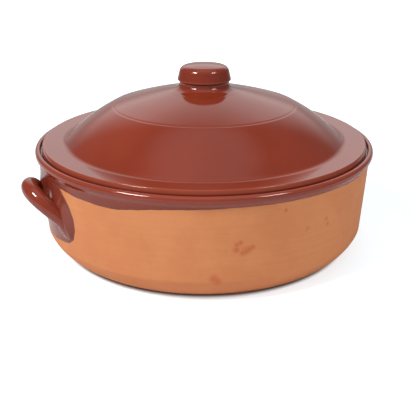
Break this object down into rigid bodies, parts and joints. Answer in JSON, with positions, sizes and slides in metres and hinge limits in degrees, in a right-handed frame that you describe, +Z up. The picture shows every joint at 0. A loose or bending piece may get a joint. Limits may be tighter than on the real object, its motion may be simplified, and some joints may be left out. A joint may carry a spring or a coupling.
{
  "type": "lidded earthenware baking dish",
  "caption": "Round glazed earthenware baking dish with ear handles at its sides and a domed lid with a knob that lifts off a ledge inside the rim.",
  "frame": {"origin": "centre of the flat base, on the surface the dish stands on", "axes": "+Z up through the knob, +X through the middle of handle_right, -X through the middle of handle_left"},
  "size_m": [0.3578, 0.32, 0.17],
  "materials": {
    "bare_clay": "matt",
    "red_glaze": "glossy"
  },
  "bodies": {
    "pot": {"pot_body": "bare_clay", "pot_glaze": "red_glaze", "handle_left": "red_glaze", "handle_right": "red_glaze"},
    "lid": {"lid_body": "bare_clay", "lid_glaze": "red_glaze", "lid_knob": "red_glaze"}
  },
  "joints": [
    {"name": "lid_lift", "type": "slide", "parent": "pot", "child": "lid", "axis": [0, 0, 1], "range_m": [0, 0.12]}
  ]
}
